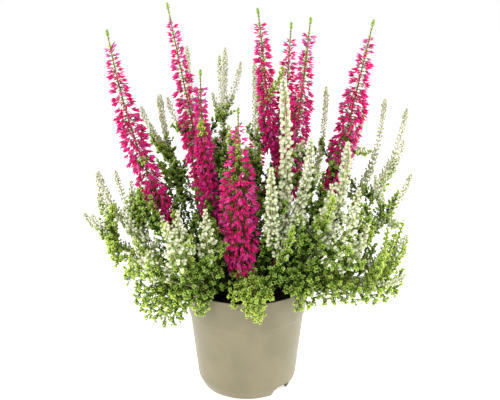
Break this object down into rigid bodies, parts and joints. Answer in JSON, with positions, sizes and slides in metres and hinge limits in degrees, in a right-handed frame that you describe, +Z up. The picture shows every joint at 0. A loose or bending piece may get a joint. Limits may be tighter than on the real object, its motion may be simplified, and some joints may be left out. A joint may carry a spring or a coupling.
{
  "type": "potted heather",
  "caption": "Heather in a plastic nursery pot, with upright pink flower spikes, cream bud spikes and leafy green shoots over dark peat.",
  "frame": {"origin": "the middle of the pot's foot, on the surface that it stands on", "axes": "+Z up through the pot's axis, -Y towards the plant's front, +X to the right as the front is seen"},
  "size_m": [0.3055, 0.2395, 0.3671],
  "materials": {
    "pot_plastic": "satin",
    "peat": "matte",
    "woody_stem": "matte",
    "pink_flower": "matte",
    "white_bud": "matte",
    "green_leaf": "matte"
  },
  "bodies": {
    "root": {"back_pink_side_1": "pink_flower", "back_pink_side_2": "pink_flower", "back_pink_spike": "pink_flower", "back_pink_stem": "woody_stem", "back_white_side_1": "white_bud", "back_white_spike": "white_bud", "back_white_stem": "woody_stem", "far_right_pink_spike": "pink_flower", "far_right_pink_stem": "woody_stem", "front_left_white_side_1": "white_bud", "front_left_white_side_2": "white_bud", "front_left_white_side_3": "white_bud", "front_left_white_spike": "white_bud", "front_left_white_stem": "woody_stem", "front_pink_side_1": "green_leaf", "front_pink_spike": "pink_flower", "front_pink_stem": "woody_stem", "front_white_side_1": "white_bud", "front_white_side_2": "white_bud", "front_white_spike": "white_bud", "front_white_stem": "woody_stem", "left_back_white_side_1": "white_bud", "left_back_white_side_2": "white_bud", "left_back_white_side_3": "white_bud", "left_back_white_spike": "white_bud", "left_back_white_stem": "woody_stem", "left_pink_side_1": "green_leaf", "left_pink_spike": "pink_flower", "left_pink_stem": "woody_stem", "left_white_side_1": "white_bud", "left_white_side_2": "white_bud", "left_white_side_3": "white_bud", "left_white_spike": "white_bud", "left_white_stem": "woody_stem", "low_right_white_side_1": "white_bud", "low_right_white_side_2": "white_bud", "low_right_white_spike": "white_bud", "low_right_white_stem": "woody_stem", "middle_pink_side_1": "pink_flower", "middle_pink_spike": "pink_flower", "middle_pink_stem": "woody_stem", "peat_root_ball": "peat", "pot": "pot_plastic", "right_back_white_side_1": "white_bud", "right_back_white_side_2": "white_bud", "right_back_white_spike": "white_bud", "right_back_white_stem": "woody_stem", "right_front_white_side_1": "white_bud", "right_front_white_side_2": "white_bud", "right_front_white_spike": "white_bud", "right_front_white_stem": "woody_stem", "right_pink_spike": "pink_flower", "right_pink_stem": "woody_stem", "right_white_side_1": "white_bud", "right_white_side_2": "white_bud", "right_white_spike": "white_bud", "right_white_stem": "woody_stem", "tall_pink_side_1": "pink_flower", "tall_pink_spike": "pink_flower", "tall_pink_stem": "woody_stem"}
  },
  "joints": []
}
